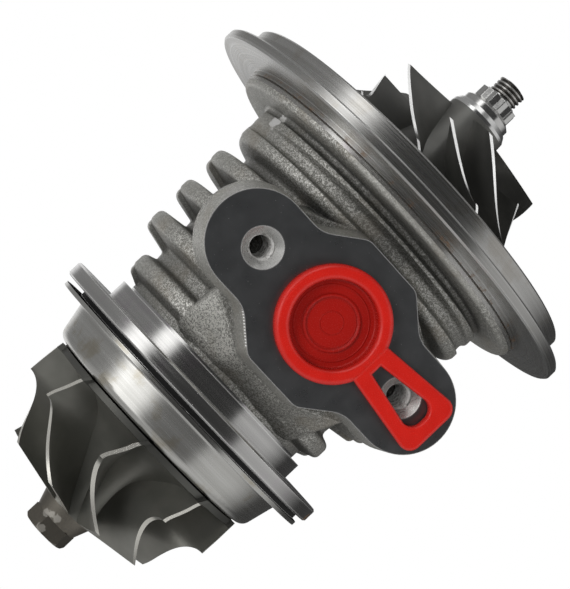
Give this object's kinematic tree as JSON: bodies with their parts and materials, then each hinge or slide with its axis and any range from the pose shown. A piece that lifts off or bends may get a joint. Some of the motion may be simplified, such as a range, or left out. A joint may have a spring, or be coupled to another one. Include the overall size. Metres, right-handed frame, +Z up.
{
  "type": "turbocharger cartridge",
  "caption": "Finned turbocharger centre housing with its rotor, turbine and compressor wheels, heat shield, back plate and a transport cap in the oil drain.",
  "frame": {"origin": "on the shaft axis, at the face of the back plate's rim that seats against the compressor cover", "axes": "+X along the shaft towards the compressor, +Z up as installed: oil inlet on top, oil drain below"},
  "size_m": [0.1321, 0.0954, 0.0954],
  "materials": {
    "cast_iron": "sand-cast, with machined ends",
    "plate_steel": "turned",
    "shield_steel": "pressed sheet, satin",
    "turbine_alloy": "cast, dark satin",
    "wheel_aluminium": "cast, with machined edges",
    "bright_steel": "bright plated",
    "shaft_steel": "ground",
    "bronze": "turned",
    "spring_steel": "dark",
    "seal_rubber": "matte",
    "red_plastic": "soft gloss"
  },
  "bodies": {
    "housing": {"centre_housing": "cast_iron", "back_plate": "plate_steel", "back_plate_screws": "bright_steel", "back_plate_seal": "seal_rubber", "thrust_bearing": "bronze", "thrust_bearing_pins": "spring_steel", "oil_deflector": "shield_steel", "heat_shield": "shield_steel", "turbine_seal_ring": "spring_steel", "compressor_seal_ring": "spring_steel", "turbine_bearing_circlips": "spring_steel", "compressor_bearing_circlips": "spring_steel"},
    "turbine_bush": {"turbine_journal_bearing": "bronze"},
    "compressor_bush": {"compressor_journal_bearing": "bronze"},
    "rotor": {"turbine_wheel": "turbine_alloy", "rotor_shaft": "shaft_steel", "thrust_washer": "shaft_steel", "thrust_collar": "shaft_steel", "oil_flinger": "shaft_steel", "compressor_wheel": "wheel_aluminium", "shaft_nut": "bright_steel"},
    "cap": {"drain_cap": "red_plastic"}
  },
  "joints": [
    {"name": "rotor_spin", "type": "hinge", "parent": "housing", "child": "rotor", "pos_m": [0, 0, 0], "axis": [1, 0, 0], "continuous": true},
    {"name": "turbine_bush_spin", "type": "hinge", "parent": "housing", "child": "turbine_bush", "pos_m": [-0.0474, 0, 0], "axis": [1, 0, 0], "continuous": true},
    {"name": "compressor_bush_spin", "type": "hinge", "parent": "housing", "child": "compressor_bush", "pos_m": [-0.0204, 0, 0], "axis": [1, 0, 0], "continuous": true},
    {"name": "cap_pull", "type": "slide", "parent": "housing", "child": "cap", "axis": [0, 0, -1], "range_m": [0, 0.025]}
  ]
}
